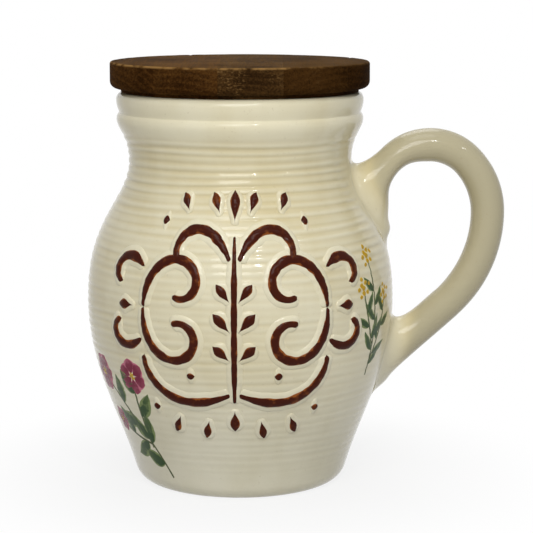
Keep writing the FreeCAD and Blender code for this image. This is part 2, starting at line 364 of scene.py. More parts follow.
# %% Model the handle
ROD_HALF_THICKNESS, ROD_HALF_WIDTH = 0.0085, 0.0095
TOP_BEND = {"centre": (0.095832, 0.143836), "radius": 0.026, "degrees": (135, 44), "steps": 28}
BACK_BEND = {"centre": (0.0872, 0.1355), "radius": 0.038, "degrees": (44, 0), "steps": 18}
LOW_BEND = {"centre": (0.0622, 0.1355), "radius": 0.063, "degrees": (0, -48), "steps": 28}
LOW_RUN, LOW_RUN_STEPS = 0.011, 8
ROOT_LEAVES, ROOT_SPREADS, ROOT_STEPS = 0.030, 0.020, 30
THROAT_THINS, THROAT_DEGREES = 0.22, (92, 128)
# a pulled strap is never quite even
STRAP_SIZE, STRAP_UNEVEN = 0.992, 0.008
STRAP_RATES, STRAP_START = (5.3, 2.1), 0.7
# height, side of the rod (1 is outer), how far it is pushed out, and half length
THUMB_MARKS = (
    (0.1275, -1, 0.0016, 0.0040),
    (0.0485, 1, 0.0012, 0.0036),
    (0.1495, -1, -0.0021, 0.0085),
)
THUMB_REACH = (0.084, 0.092)
ROOT_SINK, ROOT_PEG = 0.00003, 0.003
# the rod is painted darker than the wall, as painted shade on the handle, and this fades out over the roots
ROD_PAINTED_SHADE, ROD_PAINTED_SHADE_ADDS, ROD_PAINTED_SHADE_HEIGHTS = 0.3, 1.5, (0.001, 0.016)
AROUND = np.linspace(0, 2 * math.pi, 64, endpoint=False)
angle_start, angle_end = math.radians(TOP_BEND["degrees"][0]), math.radians(LOW_BEND["degrees"][1])


def rod_ring(centre, ray, squeeze=1.0, inner_share=1.0):
    """An oval across the rod, from its outer side; the inner half can be thinner."""
    out = np.array((ray[0], 0, ray[1])) * ROD_HALF_THICKNESS * squeeze
    side = np.array((0, 1, 0)) * ROD_HALF_WIDTH * squeeze
    outwards = np.where(np.cos(AROUND) < 0, inner_share, 1.0) * np.cos(AROUND)
    return np.array((centre[0], 0, centre[1])) + outwards[:, None] * out + np.sin(AROUND)[:, None] * side


def rod_rings():
    """Ovals along the three bends, and along the straight run at the lower end."""
    rings = []
    for bend in (TOP_BEND, BACK_BEND, LOW_BEND):
        first, last = bend["degrees"]
        for share in np.arange(bend["steps"]) / bend["steps"]:
            angle = math.radians(first + share * (last - first))
            ray = np.array((math.cos(angle), math.sin(angle)))
            quick, slow = STRAP_RATES[0] * angle + STRAP_START, STRAP_RATES[1] * angle
            squeeze = STRAP_SIZE + STRAP_UNEVEN * math.sin(quick) * math.sin(slow)
            throat = 1 - THROAT_THINS * smooth_step(math.degrees(angle), *THROAT_DEGREES)
            rings.append(rod_ring(np.array(bend["centre"]) + ray * bend["radius"], ray, squeeze, throat))
    ray = np.array((math.cos(angle_end), math.sin(angle_end)))
    low = np.array(LOW_BEND["centre"]) + ray * LOW_BEND["radius"]
    for share in np.linspace(0, 1, LOW_RUN_STEPS):
        rings.append(rod_ring(low + np.array((ray[1], -ray[0])) * LOW_RUN * share, ray))
    return rings


def thumbed(ring):
    """Adds what the thumb did to the roots: a roll of clay at each thin end, and a tighter throat."""
    moved = ring.copy()
    for z, side, push, half_length in THUMB_MARKS:
        near = np.exp(-((ring[:, 2] - z) / half_length) ** 2) * np.clip(side * np.cos(AROUND), 0, 1) ** 2
        moved[:, 0] += push * near * (1 - smooth_step(ring[:, 0], *THUMB_REACH))
    return moved


def root_rings(root, rod, towards):
    """Rings from the end of the rod down onto the jug, and a last one inside its wall."""
    down = root["z"] + root["top_is_outer"] * root["half_height"] * np.cos(AROUND)
    turns = root["half_width"] * np.sin(AROUND) / wall_radius(down)
    print_on_wall = on_jug(turns, down, -ROOT_SINK)
    middle = on_jug(np.zeros(1), np.array([root["z"]]))
    inwards = on_jug(turns, down, -MM) - on_jug(turns, down)
    inwards /= np.linalg.norm(inwards, axis=1)[:, None]
    spread = print_on_wall - middle
    spread -= (spread * inwards).sum(axis=1)[:, None] * inwards
    spread *= ROOT_SPREADS / np.linalg.norm(spread, axis=1)[:, None]
    leave = np.array((towards[0], 0, towards[1])) * ROOT_LEAVES
    rings = []
    for t in np.linspace(0, 1, ROOT_STEPS)[1:]:
        rings.append(
            (1 + 2 * t) * (1 - t) ** 2 * rod + t * (1 - t) ** 2 * leave
            + t * t * (3 - 2 * t) * print_on_wall + t * t * (t - 1) * spread
        )
    rings.append(print_on_wall + inwards * ROOT_PEG)
    return rings


rod = rod_rings()
upper = root_rings(UPPER_ROOT, rod[0], (-math.sin(angle_start), math.cos(angle_start)))
lower = root_rings(LOWER_ROOT, rod[-1], (math.sin(angle_end), -math.cos(angle_end)))
pulled_handle = told(loft("pulled_handle", [thumbed(ring) for ring in upper[::-1] + rod + lower]))
skin = points_of(pulled_handle)
off_wall = np.hypot(skin[:, 0], skin[:, 1]) - wall_radius(skin[:, 2])
# painted shade: the value grows with distance from the wall, so the rod's glaze is painted darker
put_attribute(pulled_handle, "hollow", ROD_PAINTED_SHADE + ROD_PAINTED_SHADE_ADDS * smooth_step(off_wall, *ROD_PAINTED_SHADE_HEIGHTS))

# %% [markdown]
# ## The lid's board
# The lid is a thick round board of five staves glued edge to edge. A disc gets an undercut by an
# inset and an extrude, and its edges are bevelled. It is then sawn at the glue lines with bisect,
# which is how the grain of each stave can differ. The upper edge has been knocked about for years,
# so its points are pushed in a little where it is worn.

# %% Model the staves
LID_TOP, LID_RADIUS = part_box("lid_stave_3")[1].z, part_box("lid_stave_3")[1].y
LID_SEAT_RADIUS, LID_UNDER = 0.0595, 0.1988
LID_TOP_ROUND, LID_BOTTOM_ROUND = 0.0012, 0.0035
TOP_SEGMENTS, BOTTOM_SEGMENTS, BOARD_SIDES = 5, 7, 360
STAVE_COUNT = 5
NEAR, LEVEL = MM / 10, 0.9
# wear of the upper edge: where it starts and is full, from the side and from the top
ARRIS_IN, ARRIS_DOWN = (0.0025, 0.0008), (0.002, 0.0004)
WEAR_DEPTH, WEAR_MORE, WEAR_DOWN = 0.00009, 0.25, 0.7
# height, count around and start of each wave of wear
WEAR_WAVES = ((0.5, 7, 1), (0.35, 17, 2.1), (0.3, 41, 0.4))
# degrees from the front, half width in degrees, and depth of each nick
NICKS = ((28.5, 0.7, 0.0007), (-52, 0.8, 0.0004), (-8, 0.6, 0.0003), (118, 0.9, 0.0005), (205, 0.8, 0.0004))


def select_edges(piece, test):
    bpy.ops.mesh.select_all(action="DESELECT")
    bpy.ops.mesh.select_mode(type="EDGE")
    skin = bmesh.from_edit_mesh(piece.data)
    for edge in skin.edges:
        if all(test(vertex.co) for vertex in edge.verts):
            edge.select = True
    skin.select_flush_mode()


def select_face(piece, down, z):
    bpy.ops.mesh.select_all(action="DESELECT")
    bpy.ops.mesh.select_mode(type="FACE")
    for face in bmesh.from_edit_mesh(piece.data).faces:
        face.select = face.normal.z * down > LEVEL and abs(face.calc_center_median().z - z) < NEAR


def board():
    """The turned disc, before it is sawn."""
    deselect()
    bpy.ops.mesh.primitive_cylinder_add(
        vertices=BOARD_SIDES, radius=LID_RADIUS, depth=LID_TOP - LID_UNDER,
        location=(0, 0, (LID_TOP + LID_UNDER) / 2), end_fill_type="NGON",
    )
    bpy.ops.object.transform_apply(location=True)
    piece = named("board")
    edit(piece)
    select_face(piece, -1, LID_UNDER)
    bpy.ops.mesh.inset(thickness=LID_RADIUS - LID_SEAT_RADIUS)
    bpy.ops.mesh.extrude_region_move(TRANSFORM_OT_translate={"value": (0, 0, RIM_Z - LID_UNDER)})
    for z, offset, segments in (
        (LID_UNDER, LID_BOTTOM_ROUND, BOTTOM_SEGMENTS),
        (LID_TOP, LID_TOP_ROUND, TOP_SEGMENTS),
    ):
        select_edges(piece, lambda co: abs(co.z - z) < NEAR and math.hypot(co.x, co.y) > LID_RADIUS - NEAR)
        bpy.ops.mesh.bevel(offset=offset, segments=segments, affect="EDGES")
    close_skin(BOARD_ANGLE)
    return piece


def wear_arris(piece):
    """Pushes the upper edge in where it is worn or nicked."""
    points = points_of(piece)
    reach, turn = np.hypot(points[:, 0], points[:, 1]), np.arctan2(points[:, 1], points[:, 0])
    near = smooth_step(reach, LID_RADIUS - ARRIS_IN[0], LID_RADIUS - ARRIS_IN[1])
    near *= smooth_step(points[:, 2], LID_TOP - ARRIS_DOWN[0], LID_TOP - ARRIS_DOWN[1])
    wear = sum(height * np.sin(around * turn + start) for height, around, start in WEAR_WAVES)
    depth = WEAR_DEPTH * np.clip(wear + WEAR_MORE, 0, None)
    for degrees, width, deep in NICKS:
        off = np.degrees(np.angle(np.exp(1j * (turn - FRONT - math.radians(degrees)))))
        depth += deep * np.exp(-(off / width) ** 2)
    points[:, :2] *= (1 - near * depth / np.maximum(reach, MM))[:, None]
    points[:, 2] -= WEAR_DOWN * near * depth
    put_points(piece, points)


def sawn(whole, name, left, right):
    """A copy of the board between two glue lines, which are closed faces of the copy."""
    deselect()
    whole.select_set(True)
    bpy.context.view_layer.objects.active = whole
    bpy.ops.object.duplicate()
    piece = named(name)
    edit(piece)
    for saw, side in ((left, -1), (right, 1)):
        if abs(saw) < LID_RADIUS - NEAR:
            bpy.ops.mesh.select_all(action="SELECT")
            bpy.ops.mesh.bisect(plane_co=(saw, 0, 0), plane_no=(side, 0, 0), use_fill=True, clear_outer=True)
    close_skin(BOARD_ANGLE)
    return told(piece)


whole_board = board()
wear_arris(whole_board)
staves = []
for number in range(1, STAVE_COUNT + 1):
    low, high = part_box(f"lid_stave_{number}")
    staves.append(sawn(whole_board, f"glued_stave_{number}", low.x, high.x))
bpy.data.objects.remove(whole_board)

# %% [markdown]
# ## Trailed slip on the front
# Thick coloured slip was trailed over the front of the jug, on a low mound of pale clay. The design
# here is plain scrollwork: a stem, volutes that mirror each other, buds, drops and dots. Each
# stroke is a flat path with a width and a height. Its rings are laid on the wall through the
# surface function, so that it follows belly and shoulder, and its underside is sunk in the wall.

# %% Strokes on the wall
STROKE_AROUND = np.linspace(0, 2 * math.pi, 14, endpoint=False)
STROKE_SINK = 0.0005
TRAIL_STEP, FEWEST_STEPS = 0.8 * MM, 7
TAPER_IN, TAPER_OUT = (0, 0.25), (0.7, 1)
SMALLEST = 0.02
# height and radians for each mm of the two waves in the width of a stroke
HAND_WAVES = ((0.03, 0.9), (0.05, 0.41))


def trail(start, heading, length, bends, step=TRAIL_STEP):
    """A path on the unrolled wall, whose bend in degrees for each mm goes from one value to another."""
    count = max(int(length / step), FEWEST_STEPS)
    bend = np.linspace(bends[0], bends[1], count) * length / MM / count
    turned = np.radians(heading + np.cumsum(bend) - bend / 2)
    steps = np.stack([np.cos(turned), np.sin(turned)], axis=-1) * length / count
    return np.concatenate([[start], np.asarray(start) + np.cumsum(steps, axis=0)])


def stroke_rings(path, widths, heights):
    """Rings of one stroke, laid on the wall; widths are half widths along the path."""
    run = np.gradient(path, axis=0)
    run /= np.linalg.norm(run, axis=1)[:, None]
    side = np.stack([-run[:, 1], run[:, 0]], axis=-1)
    across, up = np.cos(STROKE_AROUND), np.sin(STROKE_AROUND)
    flat = path[:, None] + side[:, None] * (widths[:, None] * across)[..., None]
    lift = np.where(up > 0, heights[:, None] * up, STROKE_SINK * up)
    return on_jug(FRONT + flat[..., 0] / BELLY[0], flat[..., 1], lift)


def taper(path, full, tips):
    """Half widths that swell from one tip to full and back to the other tip."""
    t = np.linspace(0, 1, len(path))
    swell = smooth_step(t, *TAPER_IN) * (1 - smooth_step(t, *TAPER_OUT))
    return full * (swell + (1 - swell) * np.where(t < 0.5, tips[0], tips[1]))


def gone_along(path):
    """The length of a path up to each of its points."""
    return np.concatenate([[0], np.cumsum(np.linalg.norm(np.diff(path, axis=0), axis=1))])


def rounded_ends(path, widths):
    """Closes both ends of a stroke in a half round, as slip does."""
    gone = gone_along(path)
    left = np.minimum(gone, gone[-1] - gone) / np.maximum(widths, MM / 100)
    return np.sqrt(np.clip(1 - (1 - np.clip(left, SMALLEST, 1)) ** 2, SMALLEST, 1))


def hand_drawn(path, widths):
    """Widths that swell and shrink a little along the path, as a squeezed slip trailer makes them."""
    gone = gone_along(path) / MM
    waves_of_hand = zip(HAND_WAVES, path[0] / MM)
    return widths * (1 + sum(height * np.sin(rate * gone + first) for (height, rate), first in waves_of_hand))


def mirrored(path, centre):
    return np.stack([2 * centre - path[:, 0], path[:, 1]], axis=-1)


def drop(u, v, heading, length, width):
    """A bud: round at its far end and drawn to a point at its near one."""
    path = trail((u, v), heading, length, (0, 0))
    t = np.linspace(0, 1, len(path))
    return path, width * np.clip(np.sin(math.pi * t ** 1.6), 0.06, 1)


def disc(u, v, radius):
    """A round dot."""
    path = trail((u - radius, v), 0, 2 * radius, (0, 0), radius / 5)
    t = np.linspace(-1, 1, len(path))
    return path, radius * np.sqrt(np.clip(1 - t * t, SMALLEST, 1))


def gather(name, rings):
    """Lofts every stroke and joins them in one piece, with a mark for the middle of each stroke."""
    parts = [loft(name, ring) for ring in rings]
    deselect()
    for part in parts:
        part.select_set(True)
    bpy.context.view_layer.objects.active = parts[0]
    bpy.ops.object.join()
    piece = named(name)
    spots = np.empty(len(piece.data.vertices), dtype=np.float32)
    piece.data.attributes["spot"].data.foreach_get("value", spots)
    put_attribute(piece, "margin", np.abs(np.cos(spots * 2 * math.pi / len(STROKE_AROUND))))
    return told(piece)


# %% Scrollwork
SLIP_HALF_WIDTH, SLIP_HEIGHT, THIN_SHARE = 0.0026, 0.0016, 0.55
SLIP_TIPS = (0.55, 0.75)
MOUND_MARGIN, MOUND_HEIGHT = 0.0022, 0.0009
# what is left of a mound's width and height at its ends
MOUND_END_WIDTH, MOUND_END_HEIGHT = 0.5, 0.3
SCROLL_MIDDLE = -0.002

# start, heading, length, and bend at both ends, for the right half
VOLUTES = (
    ((0.0022, 0.1215), 66, 0.046, (-1.2, -7.4)),
    ((0.0465, 0.0985), 92, 0.066, (1.0, 8.2)),
    ((0.0465, 0.0985), -88, 0.066, (-1.0, -8.2)),
    ((0.0022, 0.0575), -22, 0.058, (0.6, 3.4)),
    ((0.0480, 0.1175), 40, 0.030, (-2.0, -12.0)),
    ((0.0480, 0.0830), -40, 0.030, (2.0, 12.0)),
)
# place, heading, length and half width, for the right half
BUDS = (
    ((0.0015, 0.102), 52, 0.012, 0.0026),
    ((0.0015, 0.088), 48, 0.013, 0.0028),
    ((0.0015, 0.074), 42, 0.012, 0.0026),
    ((0.027, 0.143), 58, 0.011, 0.0026),
    ((0.0085, 0.142), 66, 0.012, 0.0028),
    ((0.052, 0.0985), 0, 0.011, 0.0027),
    ((0.030, 0.046), -62, 0.011, 0.0026),
    ((0.014, 0.0445), -75, 0.011, 0.0026),
)
DOTS = ((0.041, 0.139), (0.0445, 0.049), (0.022, 0.0665))
DOT_RADIUS = 0.0022
STEM = trail((SCROLL_MIDDLE, 0.053), 90, 0.080, (0, 0))
STEM_HALF_WIDTH, STEM_TIPS = 0.0019, (0.7, 0.6)
# place, heading, length and half width of the two drops on the middle line
CROWN = ((0, 0.138, 90, 0.016, 0.0034), (0, 0.050, -90, 0.012, 0.0030))

strokes = [(STEM, taper(STEM, STEM_HALF_WIDTH, STEM_TIPS))]
for start, heading, length, bends in VOLUTES:
    path = trail((SCROLL_MIDDLE + start[0], start[1]), heading, length, bends)
    strokes.append((path, taper(path, SLIP_HALF_WIDTH, SLIP_TIPS)))
for place, heading, length, width in BUDS:
    strokes.append(drop(SCROLL_MIDDLE + place[0], place[1], heading, length, width))
for u, v in DOTS:
    strokes.append(disc(SCROLL_MIDDLE + u, v, DOT_RADIUS))
strokes += [(mirrored(path, SCROLL_MIDDLE), widths) for path, widths in strokes[1:]]
for u, v, heading, length, width in CROWN:
    strokes.append(drop(SCROLL_MIDDLE + u, v, heading, length, width))

brown, mound = [], []
for path, widths in strokes:
    widths = hand_drawn(path, widths)
    ends = rounded_ends(path, widths)
    heights = SLIP_HEIGHT * (THIN_SHARE + (1 - THIN_SHARE) * widths / SLIP_HALF_WIDTH) * ends
    brown.append(stroke_rings(path, widths * ends, heights))
    wide = (widths + MOUND_MARGIN) * np.maximum(ends, MOUND_END_WIDTH)
    mound.append(stroke_rings(path, wide, MOUND_HEIGHT * np.maximum(ends, MOUND_END_HEIGHT)))
trailed_scrolls = gather("trailed_scrolls", brown)
scroll_mound = gather("scroll_mound", mound)

# %% [markdown]
# ## Painted sprays
# Two sprays in thin colour stand beside the scrollwork. The left one has broad leaves and plain pink
# flowers, and the one by the handle has slender leaves with heads of yellow dots. Paint has
# next to no thickness, so these are the same strokes again, a fraction of a millimetre high. Each
# keeps its own colour and its own mesh.

# %% Sprays of leaves and berries
PAINT_HEIGHT = 0.00009
LEAF_STEP, LEAF_OPENS, LEAF_CURLS = 0.9 * MM, 52, 1.6
GOLDEN_ANGLE, BERRY_SHRINKS = math.radians(137.5), 0.25
PETALS, PETAL_STEP = 6, 0.7 * MM
# shares of a flower's radius
PETAL_START, PETAL_LENGTH, PETAL_WIDTH = 0.16, 0.84, 0.46
HEART_SPREAD, HEART_DOT, HEART_DOTS = 0.2, 0.085, 7


def leaf(u, v, heading, length, width, bend):
    """A leaf: pointed at both ends, and fullest before its middle."""
    path = trail((u, v), heading, length, (bend, bend), LEAF_STEP)
    t = np.linspace(0, 1, len(path))
    return path, width * np.clip(np.sin(math.pi * t ** 0.8) ** 0.85, 0.05, 1)


def berries(u, v, spread, count, radius):
    """A round cluster, laid out on a sunflower spiral."""
    found = []
    for number in range(count):
        out, turn = spread * math.sqrt(number / count), number * GOLDEN_ANGLE
        size = radius * (1 - BERRY_SHRINKS * number / count)
        found.append(disc(u + out * math.cos(turn), v + out * math.sin(turn), size))
    return found


def spray(stem, width, leaf_sizes, first_side, shares):
    """Leaves set in turn on both sides of a stem."""
    leaves = []
    for number, share in enumerate(shares):
        spot = int(share * (len(stem) - 2))
        ahead = stem[spot + 1] - stem[spot]
        side = first_side if number % 2 == 0 else -first_side
        heading = math.degrees(math.atan2(ahead[1], ahead[0])) + side * LEAF_OPENS
        length = leaf_sizes[0] + (leaf_sizes[1] - leaf_sizes[0]) * share
        leaves.append(leaf(*stem[spot], heading, length, width, -side * LEAF_CURLS))
    return leaves


def blossom(u, v, radius, first):
    """A plain open flower: petals round a dotted middle."""
    petals = []
    for number in range(PETALS):
        heading = first + number * 360 / PETALS
        turn, out = math.radians(heading), PETAL_START * radius
        start = (u + out * math.cos(turn), v + out * math.sin(turn))
        path = trail(start, heading, PETAL_LENGTH * radius, (0, 0), PETAL_STEP)
        t = np.linspace(0, 1, len(path))
        petals.append((path, PETAL_WIDTH * radius * np.clip(np.sin(math.pi * t ** 1.35) ** 0.7, 0.06, 1)))
    return petals, berries(u, v, HEART_SPREAD * radius, HEART_DOTS, HEART_DOT * radius)


# start, heading, length, bend at both ends, and the flower's radius
LEFT_STEMS = (
    ((-0.049, 0.009), 122, 0.066, (0.1, 0.5), 0.0098),
    ((-0.0605, 0.024), 98, 0.038, (-0.3, -0.5), 0.0092),
    ((-0.060, 0.026), 172, 0.030, (-0.4, -1.2), 0.0066),
)
LEFT_LEAF_WIDTH, LEFT_LEAF_SIZES, LEFT_LEAF_PITCH = 0.0041, (0.019, 0.013), 0.0125
RIGHT_STEMS = (
    ((0.078, 0.060), 84, 0.060, (0.1, 0.5)),
    ((0.079, 0.068), 62, 0.034, (0.2, 0.9)),
    ((0.0785, 0.076), 112, 0.030, (-0.2, -0.8)),
)
RIGHT_LEAF_WIDTH, RIGHT_LEAF_SIZES, RIGHT_LEAF_PITCH = 0.0021, (0.014, 0.010), 0.0075
HEAD_SPREAD, HEAD_DOTS, HEAD_DOT = 0.0054, 9, 0.0014
LEAVES_END = 0.85
# half width and tips of the stems, and where on a stem the leaves start
LEFT_STEM, LEFT_LEAVES_START = (0.0007, (1.0, 0.5)), 0.14
RIGHT_STEM, RIGHT_LEAVES_START = (0.0006, (1.0, 0.6)), 0.10

stems, leaves, pink, yellow = [], [], [], []
for start, heading, length, bends, radius in LEFT_STEMS:
    path = trail(start, heading, length, bends)
    stems.append((path, taper(path, *LEFT_STEM)))
    leaf_shares = np.arange(LEFT_LEAVES_START, LEAVES_END, LEFT_LEAF_PITCH / length)
    leaves += spray(path, LEFT_LEAF_WIDTH, LEFT_LEAF_SIZES, 1, leaf_shares)
    petals, middle = blossom(*path[-1], radius, heading)
    pink += petals
    yellow += middle
for start, heading, length, bends in RIGHT_STEMS:
    path = trail(start, heading, length, bends)
    stems.append((path, taper(path, *RIGHT_STEM)))
    leaf_shares = np.arange(RIGHT_LEAVES_START, LEAVES_END, RIGHT_LEAF_PITCH / length)
    leaves += spray(path, RIGHT_LEAF_WIDTH, RIGHT_LEAF_SIZES, -1, leaf_shares)
    yellow += berries(*path[-1], HEAD_SPREAD, HEAD_DOTS, HEAD_DOT)


def painted(name, marks, coats):
    """One piece from flat strokes, some coats of paint high."""
    height = PAINT_HEIGHT * coats
    return gather(name, [stroke_rings(path, widths, np.full(len(path), height)) for path, widths in marks])


painted_stems = painted("painted_stems", stems, 0.8)
painted_leaves = painted("painted_leaves", leaves, 1.0)
pink_petals = painted("pink_petals", pink, 1.3)
yellow_heads = painted("yellow_heads", yellow, 1.8)

# %% [markdown]
# ## Shader sums as Python
# A finish is a sum of patterns, and sums are easier to read as Python than as a web of nodes. The
# class below wraps one socket. Its operators add Math nodes, and one method makes any other node
# from its type, its settings and what goes into its sockets.

# %% The socket class
class Tone:
    """An output of a shader node, which can stand in a Python expression."""

    def __init__(self, tree, socket=None):
        self.tree, self.socket = tree, socket

    def node(self, kind, settings=None, sockets=None, output=0):
        made = self.tree.nodes.new(kind)
        for name, setting in (settings or {}).items():
            if name == "stops":
                for element, (place, colour) in zip(made.color_ramp.elements, setting):
                    element.position, element.color = place, colour
            else:
                setattr(made, name, setting)
        for name, given in (sockets or {}).items():
            if isinstance(given, Tone):
                self.tree.links.new(given.socket, made.inputs[name])
            else:
                made.inputs[name].default_value = given
        return Tone(self.tree, made.outputs[output]) if len(made.outputs) else made

    def sum(self, operation, *terms):
        return self.node("ShaderNodeMath", {"operation": operation}, dict(enumerate(terms)))

    def __add__(self, other):
        return self.sum("ADD", self, other)

    def __sub__(self, other):
        return self.sum("SUBTRACT", self, other)

    def __mul__(self, other):
        return self.sum("MULTIPLY", self, other)

    def __pow__(self, other):
        return self.sum("POWER", self, other)

    __radd__, __rmul__ = __add__, __mul__


def new_finish(name):
    """An empty material, as a tone to start from, and its place on the object."""
    material = bpy.data.materials.new(name)
    material.use_nodes = True
    material.node_tree.nodes.clear()
    start = Tone(material.node_tree)
    return start, start.node("ShaderNodeTexCoord", output="Object")


def ramp(tone, low, high):
    """0 below low and 1 above high, smooth between; a high below low turns it over."""
    return tone.node("ShaderNodeMapRange", {"interpolation_type": "SMOOTHSTEP"}, {0: tone, 1: low, 2: high})


def noise(place, scale, detail=3.0, stretch=None, roughness=0.5):
    if stretch:
        place = place.node("ShaderNodeMapping", None, {"Vector": place, "Scale": stretch})
    sockets = {"Vector": place, "Scale": scale, "Detail": detail, "Roughness": roughness}
    return place.node("ShaderNodeTexNoise", None, sockets, "Fac")


def mixed(factor, first, second):
    return factor.node("ShaderNodeMix", {"data_type": "RGBA"}, {0: factor, 6: first, 7: second}, 2)


def bumped(height, distance, strength=1.0):
    return height.node("ShaderNodeBump", None, {"Height": height, "Distance": distance, "Strength": strength})


def attribute(start, name):
    return start.node("ShaderNodeAttribute", {"attribute_name": name}, output="Fac")


def coat(start, pieces, sockets):
    """Ends a finish in a Principled shader and puts it on the pieces."""
    skin = start.node("ShaderNodeBsdfPrincipled", None, sockets)
    start.node("ShaderNodeOutputMaterial", None, {"Surface": skin})
    material = next(found for found in bpy.data.materials if found.node_tree == start.tree)
    for piece in pieces:
        piece.data.materials.clear()
        piece.data.materials.append(material)
    print("finish", material.name, "on", [piece.name for piece in pieces])


def srgb(red, green, blue):
    """A colour as a painter reads it off a chart, made linear."""
    parts = [channel / 255 for channel in (red, green, blue)]
    return tuple(c / 12.92 if c < 0.04045 else ((c + 0.055) / 1.055) ** 2.4 for c in parts) + (1.0,)


# %% [markdown]
# ## Cream glaze
# The glaze is a glossy cream that pools yellower in the hollows of the rings and thins out paler on
# the ridges. The handle is painted darker still, as painted shade. Slow clouds and fine specks break
# its colour, and a faint ripple breaks its gloss. The ring that the jug stands on was wiped bare
# before firing, so it is a rough buff there.

# %% Finish of the jug and its handle
RIDGE, RIDGE_LOW = srgb(231, 224, 196), srgb(229, 224, 203)
POOL, POOL_LOW = srgb(213, 200, 159), srgb(210, 203, 174)
HANDLE_SHADE, SPECK, BARE_CLAY = srgb(187, 178, 147), srgb(168, 146, 104), srgb(196, 172, 138)
HANDLE_SHADE_FROM, LOW_HEIGHTS, BARE_HEIGHTS = (0.9, 1.9), (0.085, 0.025), (0.0006, 0.0003)
GLAZE_IOR, GLAZE_SPECULAR, GLAZE_ROUGHNESS = 1.5, 0.26, 0.07
RIPPLE_DEPTH, RIPPLE_STRENGTH = 0.00035, 0.5


def cream_glaze(name, pieces):
    start, place = new_finish(name)
    # the attribute is glaze pooled in the rings on the wall, and painted shade on the handle
    hollow = attribute(start, "hollow")
    height = start.node("ShaderNodeSeparateXYZ", None, {0: place}, "Z")
    clouds = noise(place, 22, 3)
    streaks = noise(place, 60, 4, (1, 1, 0.35))
    specks = ramp(noise(place, 900, 2), 0.66, 0.74)
    pooled_and_shaded = hollow * 0.65 + ramp(clouds, 0.35, 0.7) * 0.35 + ramp(streaks, 0.4, 0.75) * 0.25
    thin = ramp(height, *LOW_HEIGHTS)
    colour = mixed(pooled_and_shaded, mixed(thin, RIDGE, RIDGE_LOW), mixed(thin, POOL, POOL_LOW))
    # painted shade: only the handle's values reach past the wall's, and they turn its glaze darker
    colour = mixed(ramp(hollow, *HANDLE_SHADE_FROM), colour, HANDLE_SHADE)
    colour = mixed(specks * 0.2, colour, SPECK)
    bare = ramp(height, *BARE_HEIGHTS)
    colour = mixed(bare, colour, BARE_CLAY)
    lines = noise(place, 420, 3, (0.07, 0.07, 1))
    ripple = noise(place, 95, 2) * 0.8 + noise(place, 480, 2) * 0.08 + lines * 0.3
    coat(start, pieces, {
        "Base Color": colour,
        "Roughness": GLAZE_ROUGHNESS + streaks * 0.08 + bare * 0.55,
        "Specular IOR Level": GLAZE_SPECULAR,
        "IOR": GLAZE_IOR,
        "Normal": bumped(ripple, RIPPLE_DEPTH, RIPPLE_STRENGTH),
    })


cream_glaze("cream_glaze", [thrown_jug, pulled_handle, scroll_mound])

# %% [markdown]
# ## Slip and paint
# Iron slip fires to a dark red brown and goes rusty where it is thin, which is along its margins.
# The paints are thin too, and pale towards the end of each brush stroke. Both lie under the glaze,
# so they keep some of its gloss.

# %% Finishes of the ornament
PAINT_GLOSS, SLIP_GLOSS = 0.12, 0.08
RIM_WIDTH, PAINT_ROUGHNESS = 0.35, 0.16
PAINT_RELIEF, PAINT_RELIEF_STRENGTH = 0.0002, 0.35


def under_glaze(name, pieces, deep, thin, rim, fade, gloss=PAINT_GLOSS):
    """Colour that is thin from the rim of a stroke outwards, and fades along it."""
    start, place = new_finish(name)
    margin, along = attribute(start, "margin"), attribute(start, "along")
    patches = noise(place, 260, 3)
    worn = ramp(margin + (patches - 0.5) * 0.9, rim, rim + RIM_WIDTH) + ramp(along, 0.2, 1.0) * fade
    colour = mixed(ramp(worn + ramp(patches, 0.5, 0.75) * 0.35, 0.0, 1.0), deep, thin)
    coat(start, pieces, {
        "Base Color": colour,
        "Roughness": PAINT_ROUGHNESS + patches * 0.12,
        "Specular IOR Level": gloss,
        "IOR": GLAZE_IOR,
        "Normal": bumped(noise(place, 420, 2), PAINT_RELIEF, PAINT_RELIEF_STRENGTH),
    })


under_glaze("iron_slip", [trailed_scrolls], srgb(64, 20, 6), srgb(142, 78, 32), 0.58, 0.1, SLIP_GLOSS)
under_glaze("stem_paint", [painted_stems], srgb(74, 84, 48), srgb(120, 126, 82), 0.7, 0.3)
under_glaze("leaf_paint", [painted_leaves], srgb(46, 74, 34), srgb(122, 138, 84), 0.55, 0.4)
under_glaze("pink_paint", [pink_petals], srgb(122, 30, 58), srgb(196, 110, 132), 0.62, 0.35)
under_glaze("yellow_paint", [yellow_heads], srgb(188, 148, 30), srgb(216, 188, 88), 0.6, 0.3)

# %% [markdown]
# ## Stained wood
# Wood is a solid pattern, so it is built from distance to the heart of the tree: long fibres run
# front to back, and the ends of the staves show arcs of the year rings. The stain is dark, soaks
# unevenly, and has rubbed off along the upper edge. The top face is painted paler, partly as
# handling wear and partly as painted sheen. Every stave has its own heart and its own stain.

# %% Finish of the lid
YEAR_WIDTH, YEARS_DRIFT = 0.0034, 0.012
PORE, FLECK = srgb(18, 9, 3), srgb(124, 94, 56)
# paler colours: the top's is handling wear and painted sheen, the edge's is rubbed wear
RUBBED_TOP_AND_SHEEN, RUBBED_EDGE = srgb(122, 92, 54), srgb(150, 114, 66)
# depths below the top where handling wear and painted sheen start and are full, and the same for the rubbed
# edge
HANDLED_AND_SHEEN_DOWN, RUB_IN, RUB_DOWN = (0.0006, 0.0002), (0.0014, 0.0005), (0.0014, 0.0004)
WOOD_ROUGHNESS, WOOD_SPECULAR, WOOD_IOR = 0.5, 0.003, 1.45
GRAIN_DEPTH, GRAIN_STRENGTH = 0.00022, 0.6


